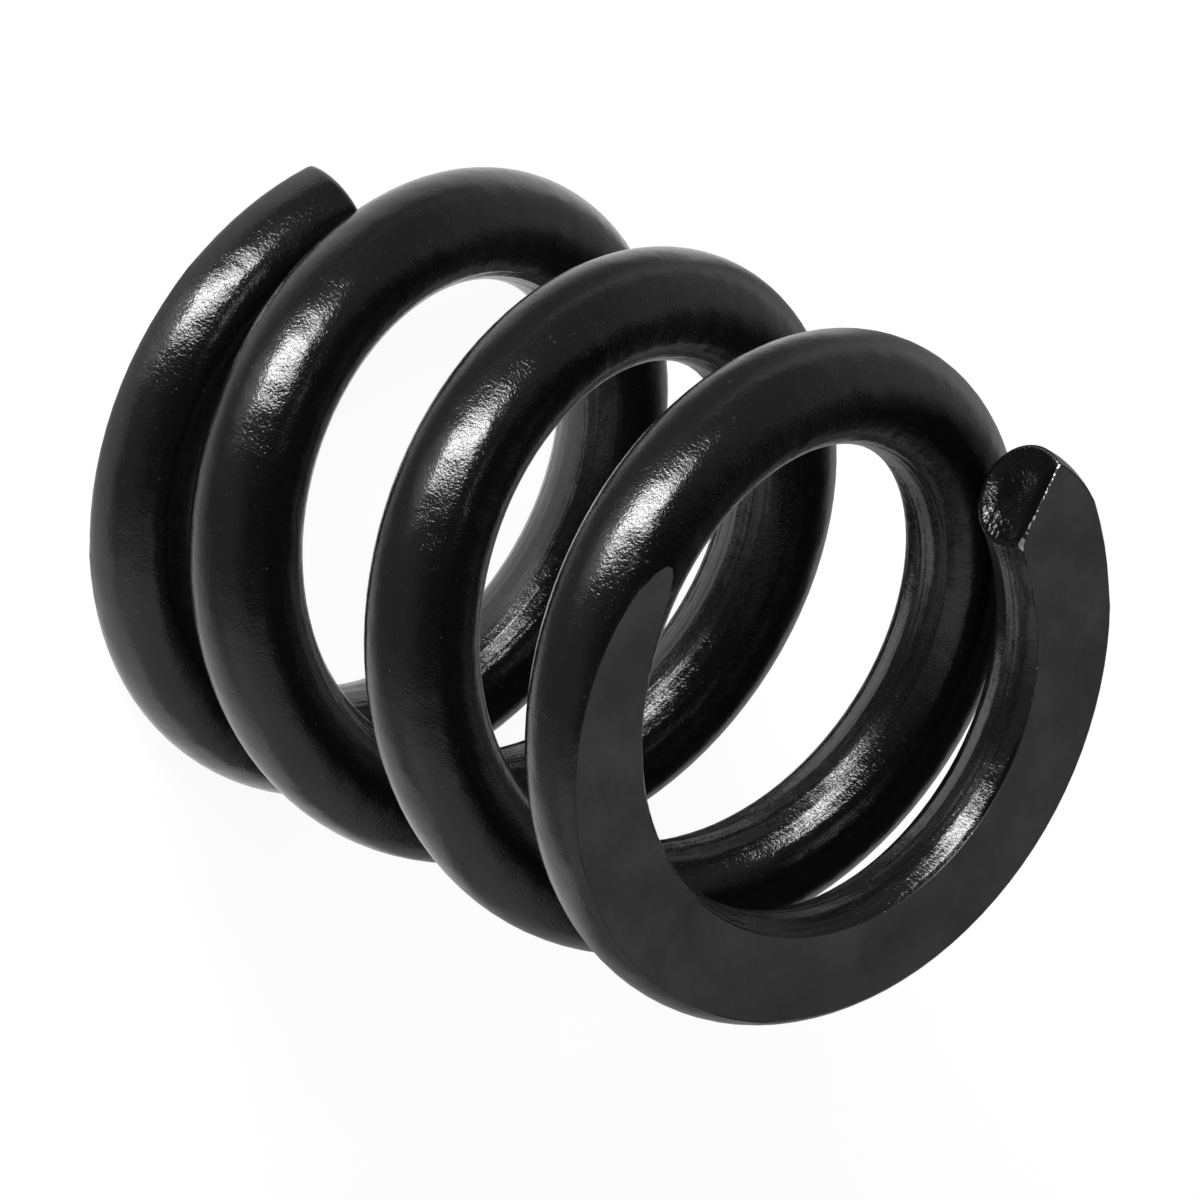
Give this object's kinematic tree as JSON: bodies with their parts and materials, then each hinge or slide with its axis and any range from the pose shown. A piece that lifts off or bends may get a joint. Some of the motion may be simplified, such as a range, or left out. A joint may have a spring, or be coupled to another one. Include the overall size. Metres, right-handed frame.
{
  "type": "slip clutch spring",
  "caption": "Heavy compression spring of round wire with closed, ground ends, painted black, which presses the jaws or plates of a slip clutch together round its shaft.",
  "frame": {"origin": "on the coil's axis, in the plane of the lower ground face", "axes": "+Z along the coil's axis, from the lower ground face to the upper one; the lower tip of the wire lies towards +X"},
  "size_m": [0.0581, 0.0581, 0.0649],
  "materials": {
    "black_paint": "semi-gloss black paint over spring steel, with a fine orange-peel texture"
  },
  "bodies": {
    "root": {"spring": "black_paint"}
  },
  "joints": []
}
